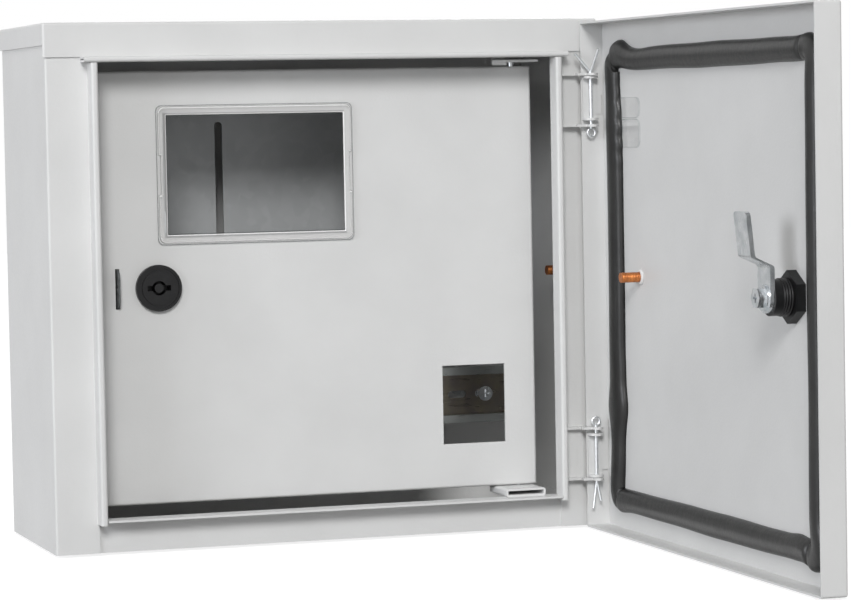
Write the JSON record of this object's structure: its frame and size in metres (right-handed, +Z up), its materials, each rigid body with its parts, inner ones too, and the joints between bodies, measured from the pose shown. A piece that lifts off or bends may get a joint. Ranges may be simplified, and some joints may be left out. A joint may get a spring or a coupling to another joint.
{
  "type": "electric_meter_box",
  "caption": "Wall-hung sheet-steel electric meter box with an open gasketed outer door and a shut inner panel with window, breaker cut-out and quarter-turn locks",
  "frame": {"origin": "middle of the four wall-fixing holes, on the back face", "axes": "+X right seen from the front, +Y back into the wall, +Z up"},
  "size_m": [0.3489, 0.4727, 0.312],
  "materials": {
    "grey_powder_coat": "light grey powder coat, low sheen, fine orange peel",
    "zinc_steel": "bright zinc plating, satin",
    "passivated_steel": "yellow passivated zinc, satin",
    "dull_steel": "unpainted steel, dark and dull",
    "copper_plate": "copper plating, satin",
    "black_nylon": "moulded black plastic, matt",
    "foam_rubber": "dark foam strip, matt",
    "grommet_rubber": "moulded grey-black rubber, matt",
    "clear_moulding": "clear moulded plastic, glossy",
    "clear_gel": "clear soft gel, glossy",
    "galvanised_sheet": "galvanised sheet, soft spangle"
  },
  "bodies": {
    "enclosure": {"body_shell": "grey_powder_coat", "top_cap": "grey_powder_coat", "bottom_pan": "grey_powder_coat", "upper_body_bracket": "grey_powder_coat", "lower_body_bracket": "grey_powder_coat", "upper_pivot_bracket": "grey_powder_coat", "lower_pivot_bracket": "grey_powder_coat", "latch_bracket": "dull_steel", "meter_plate_screws": "zinc_steel", "din_rail_screws": "zinc_steel", "meter_plate_posts": "zinc_steel", "din_rail_posts": "zinc_steel", "din_rail": "passivated_steel", "body_earth_stud": "copper_plate", "cable_grommets": "grommet_rubber", "meter_plate": "galvanised_sheet"},
    "outer_door": {"outer_door": "grey_powder_coat", "door_gasket": "foam_rubber", "upper_door_bracket": "grey_powder_coat", "lower_door_bracket": "grey_powder_coat", "door_lock_housing": "black_nylon", "door_lock_nut": "black_nylon", "door_earth_stud": "copper_plate", "clear_pads": "clear_gel"},
    "door_lock": {"door_lock_insert": "black_nylon", "door_lock_cam": "zinc_steel", "door_lock_washer": "zinc_steel", "door_lock_screw": "zinc_steel"},
    "inner_panel": {"inner_panel": "grey_powder_coat", "meter_window": "clear_moulding", "panel_lock_housing": "black_nylon", "panel_lock_nut": "black_nylon", "panel_pivot_pins": "zinc_steel"},
    "panel_lock": {"panel_lock_insert": "black_nylon", "panel_lock_cam": "zinc_steel", "panel_lock_washer": "zinc_steel", "panel_lock_screw": "zinc_steel"},
    "upper_pin": {"upper_hinge_pin": "zinc_steel"},
    "lower_pin": {"lower_hinge_pin": "zinc_steel"}
  },
  "joints": [
    {"name": "outer_door_swing", "type": "hinge", "parent": "enclosure", "child": "outer_door", "pos_m": [0.1642, -0.1385, 0], "axis": [0, 0, 1], "range_deg": [-90, 4]},
    {"name": "inner_panel_swing", "type": "hinge", "parent": "enclosure", "child": "inner_panel", "pos_m": [0.1233, -0.109, 0], "axis": [0, 0, 1], "range_deg": [0, 95]},
    {"name": "door_lock_turn", "type": "hinge", "parent": "outer_door", "child": "door_lock", "pos_m": [0.174, -0.4147, -0.0024], "axis": [1, 0, 0], "range_deg": [0, 90]},
    {"name": "panel_lock_turn", "type": "hinge", "parent": "inner_panel", "child": "panel_lock", "pos_m": [-0.1016, -0.113, -0.0015], "axis": [0, -1, 0], "range_deg": [0, 90]},
    {"name": "upper_hinge_pin_turn", "type": "hinge", "parent": "enclosure", "child": "upper_pin", "pos_m": [0.1642, -0.1385, 0.10525], "axis": [0, 0, 1], "range_deg": [-20, 20]},
    {"name": "lower_hinge_pin_turn", "type": "hinge", "parent": "enclosure", "child": "lower_pin", "pos_m": [0.1642, -0.1385, -0.11025], "axis": [0, 0, 1], "range_deg": [-20, 20]}
  ]
}
